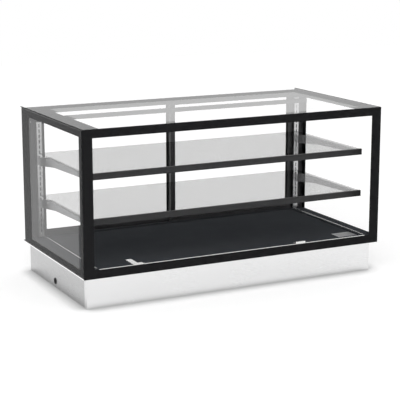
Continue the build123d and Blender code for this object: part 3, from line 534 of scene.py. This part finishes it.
# indicator lens in its bezel
lensSize = {
    "x": -0.3135, "radius": 0.0042, "height": 0.003, "roundShare": 0.5, "bezel": 0.0056, "bezelRise": 0.0004,
}
dropSelection()
bpy.ops.mesh.primitive_cylinder_add(
    vertices=32, radius=lensSize["radius"], depth=lensSize["height"],
    location=(0, 0, lensSize["height"] / 2),
)
lens = bpy.context.object
roundTop(lens, lensSize["radius"] * lensSize["roundShare"], 5)
lens.matrix_world = Matrix.Translation((lensSize["x"], panelFace, panelMiddle)) @ facing["rear"]
settle(lens, "indicator_lens", amberLens, cabinetBody)
dropSelection()
bpy.ops.mesh.primitive_torus_add(
    major_radius=(lensSize["bezel"] + lensSize["radius"]) / 2,
    minor_radius=(lensSize["bezel"] - lensSize["radius"]) / 2,
    major_segments=40, minor_segments=10,
)
bezel = bpy.context.object
bezelPlace = (lensSize["x"], panelFace + lensSize["bezelRise"], panelMiddle)
bezel.matrix_world = Matrix.Translation(bezelPlace) @ facing["rear"]
settle(bezel, "indicator_bezel", slotMaterials["black_plastic"], cabinetBody)
print("controls done")

# rubber beads round the door panes; grip is how deep the frame holds the pane
beadSize = {"width": 0.004, "proud": 0.0008, "grip": 0.00675}


def modelBead(doorName, faceName):
    low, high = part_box(f"door_{doorName}_glass")
    y, outward = (low[1], -1) if faceName == "inner" else (high[1], 1)
    dropSelection()
    centre = ((low[0] + high[0]) / 2, y, (low[2] + high[2]) / 2)
    bpy.ops.mesh.primitive_plane_add(size=1, location=centre, rotation=(math.radians(-90 * outward), 0, 0))
    bead = bpy.context.object
    bead.scale = (high[0] - low[0] - 2 * beadSize["grip"], high[2] - low[2] - 2 * beadSize["grip"], 1)
    bpy.ops.object.transform_apply(location=True, rotation=True, scale=True)
    pickFaces(bead, lambda face: True)
    bpy.ops.mesh.inset(thickness=beadSize["width"])
    bpy.ops.mesh.delete(type="FACE")
    bpy.ops.mesh.select_all(action="SELECT")
    bpy.ops.mesh.extrude_region_move(TRANSFORM_OT_translate={"value": (0, outward * beadSize["proud"], 0)})
    bpy.ops.mesh.select_all(action="SELECT")
    bpy.ops.mesh.normals_make_consistent(inside=False)
    bpy.ops.object.mode_set(mode="OBJECT")
    rubber = slotMaterials["black_rubber"]
    settle(bead, f"door_{doorName}_bead_{faceName}", rubber, f"{doorName}_door")


for doorName in ("left", "right"):
    for faceName in ("inner", "outer"):
        modelBead(doorName, faceName)
print("door beads done")

# polished strips along the front of the deck and the inner edge of each side channel
stripSize = {"depth": 0.0022, "rise": 0.004, "round": 0.0005, "sideGap": 0.0017}
grilleLow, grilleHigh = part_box("air_grille")
trayLow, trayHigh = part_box("deck_tray")
stripFoot, stripTop = grilleHigh[2], grilleHigh[2] + stripSize["rise"]


def modelStrip(name, xs, ys):
    strip = addBox((min(xs), ys[0], stripFoot), (max(xs), ys[1], stripTop))
    applyModifier(strip, "BEVEL", width=stripSize["round"], segments=3)
    settle(strip, name, zincPlate, cabinetBody)


stripRear = grilleLow[1] + stripSize["depth"]
modelStrip("deck_edge_strip", (grilleLow[0], grilleHigh[0]), (grilleLow[1], stripRear))
for side, sideName in sides:
    innerX = side * (trayHigh[0] + stripSize["sideGap"])
    outerX = innerX + side * stripSize["depth"]
    modelStrip(f"deck_side_strip_{sideName}", (innerX, outerX), (trayLow[1], trayHigh[1]))

# steel clips that hold the front pane: a wall behind the pane,
# a foot over the rim of the deck and a leg down in its recess
clipSize = {
    "width": 0.040, "sheet": 0.0012, "bend": 0.0004, "rimWidth": 0.006, "recess": 0.0055, "play": 0.0002,
}
clips = (
    {"middle": -0.392, "wall": 0.0035, "leg": 0.075, "legWidth": 0.022},
    {"middle": 0.261, "wall": 0.0085, "leg": 0.012, "legWidth": 0.034},
)


def modelClip(name, size):
    sheet = clipSize["sheet"]
    innerY = trayLow[1] + clipSize["rimWidth"] + clipSize["play"]
    footZ = trayHigh[2]
    legZ = footZ - clipSize["recess"]
    left, right = (size["middle"] + sign * clipSize["width"] / 2 for sign in (-1, 1))
    legLeft, legRight = (size["middle"] + sign * size["legWidth"] / 2 for sign in (-1, 1))
    clip = addBox((left, stripRear, footZ), (right, innerY + sheet, footZ + sheet))
    for low, high in (
        ((left, stripRear, stripFoot), (right, stripRear + sheet, footZ + size["wall"])),
        ((legLeft, innerY, legZ), (legRight, innerY + sheet, footZ + sheet / 2)),
        ((legLeft, innerY, legZ), (legRight, innerY + size["leg"], legZ + sheet)),
    ):
        combine(clip, addBox(low, high), "UNION")
    applyModifier(clip, "BEVEL", width=clipSize["bend"], segments=2)
    settle(clip, name, zincPlate, cabinetBody)


for n, size in enumerate(clips):
    modelClip(f"glass_clip_{n}", size)
print("front strip done")


# floor, light and camera
def shownRays(tree):
    # 1 for rays from the camera, a mirror or a pane, and 0 for the light on the object
    path = tree.nodes.new("ShaderNodeLightPath")
    direct = mathOf(tree, "ADD", path.outputs["Is Camera Ray"], path.outputs["Is Glossy Ray"])
    return mathOf(tree, "MINIMUM", mathOf(tree, "ADD", direct, path.outputs["Is Transmission Ray"]), 1.0)


def aimAt(obj, look):
    toward = Vector(look["aim"]) - Vector(look["place"])
    obj.rotation_euler = toward.to_track_quat("-Z", "Y").to_euler()


stageLook = {
    "floor": 0.82, "lift": 0.34, "worldLevel": 0.86, "size": 14.0, "shadeReach": 0.065, "shadePower": 1.15,
}
dropSelection()
bpy.ops.mesh.primitive_plane_add(size=stageLook["size"], location=(0, 0, cadBox[0][2]))
floor = bpy.context.object
floor.name = "floor"
floorMaterial, tree, output = startMaterial("floor")
# steel throws light back on the floor, so the soft shadow at its foot is painted: nearness to the base
# darkens the floor's colour and lift
nearness = tree.nodes.new("ShaderNodeAmbientOcclusion")
nearness.inputs["Distance"].default_value = stageLook["shadeReach"]
paintedShadow = mathOf(tree, "POWER", nearness.outputs["AO"], stageLook["shadePower"])
matt = tree.nodes.new("ShaderNodeBsdfDiffuse")
tree.links.new(mathOf(tree, "MULTIPLY", paintedShadow, stageLook["floor"]), matt.inputs["Color"])
lift = tree.nodes.new("ShaderNodeEmission")
lifted = mathOf(tree, "MULTIPLY", shownRays(tree), stageLook["lift"])
tree.links.new(mathOf(tree, "MULTIPLY", lifted, paintedShadow), lift.inputs["Strength"])
both = tree.nodes.new("ShaderNodeAddShader")
tree.links.new(matt.outputs["BSDF"], both.inputs[0])
tree.links.new(lift.outputs["Emission"], both.inputs[1])
tree.links.new(both.outputs["Shader"], output.inputs["Surface"])
floor.data.materials.append(floorMaterial)

world = bpy.data.worlds.new("studio")
bpy.context.scene.world = world
world.use_nodes = True
tree = world.node_tree
tree.nodes.clear()
output = tree.nodes.new("ShaderNodeOutputWorld")
background = tree.nodes.new("ShaderNodeBackground")
background.inputs["Color"].default_value = (1, 1, 1, 1)
level = rangeOf(tree, shownRays(tree), offToOn, (stageLook["worldLevel"], 1.0))
tree.links.new(level, background.inputs["Strength"])
tree.links.new(background.outputs["Background"], output.inputs["Surface"])

keyLight = {"place": (-1.6, -2.6, 3.2), "aim": (0, 0, 0.3), "size": 2.4, "power": 26.0}
dropSelection()
bpy.ops.object.light_add(type="AREA", location=keyLight["place"])
lamp = bpy.context.object
lamp.name = "soft_key"
lamp.data.shape = "DISK"
lamp.data.size = keyLight["size"]
lamp.data.energy = keyLight["power"]
aimAt(lamp, keyLight)

cameraLook = {
    "place": (-2.1422, -4.2428, 1.3178), "aim": (0.0061, 0.0175, 0.2713), "lens": 115.48, "sensor": 36.0,
}
bpy.ops.object.camera_add(location=cameraLook["place"])
camera = bpy.context.object
camera.data.sensor_width = cameraLook["sensor"]
camera.data.lens = cameraLook["lens"]
aimAt(camera, cameraLook)
bpy.context.scene.camera = camera
bpy.context.scene.view_settings.view_transform = "Standard"
bpy.context.scene.cycles.transparent_max_bounces = 32
print("stage done")
